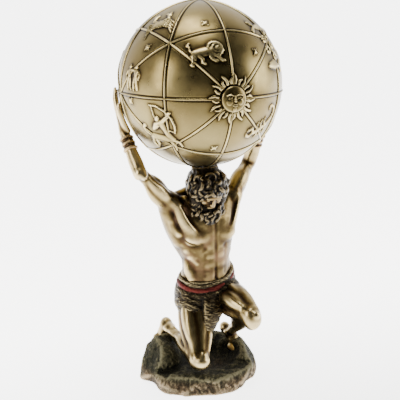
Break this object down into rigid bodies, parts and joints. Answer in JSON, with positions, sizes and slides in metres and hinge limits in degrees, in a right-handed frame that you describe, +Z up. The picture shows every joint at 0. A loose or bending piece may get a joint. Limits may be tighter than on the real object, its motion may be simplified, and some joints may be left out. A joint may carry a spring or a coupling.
{
  "type": "kneeling figure holding up a lidded globe box",
  "caption": "Kneeling bearded figure on a rock that holds up a hollow celestial globe, whose ribbed upper half lifts off as a lid.",
  "frame": {"origin": "centre of the rock's flat underside, on the table and on the globe's vertical axis", "axes": "+Z up; the front, with the sun on the globe and the bowed head, faces -Y; the figure's right hand is at -X"},
  "size_m": [0.1309, 0.1316, 0.3058],
  "materials": {
    "figure_bronze": "warm bronze skin with dark wax in the hollows, satin",
    "globe_bronze": "antique light bronze, satin, dark in the grooves",
    "dark_hair": "near-black bronze with rubbed curl tips",
    "cloth_bronze": "dark olive-brown, crinkled",
    "red_sash": "dark red paint over bronze",
    "rock_paint": "dark grey-green with pinkish-tan dry brushing",
    "dark_cuffs": "dark bronze, rubbed on the rings"
  },
  "bodies": {
    "root": {"figure_on_rock": "figure_bronze", "globe_bowl": "globe_bronze", "globe_lid": "globe_bronze"}
  },
  "joints": []
}
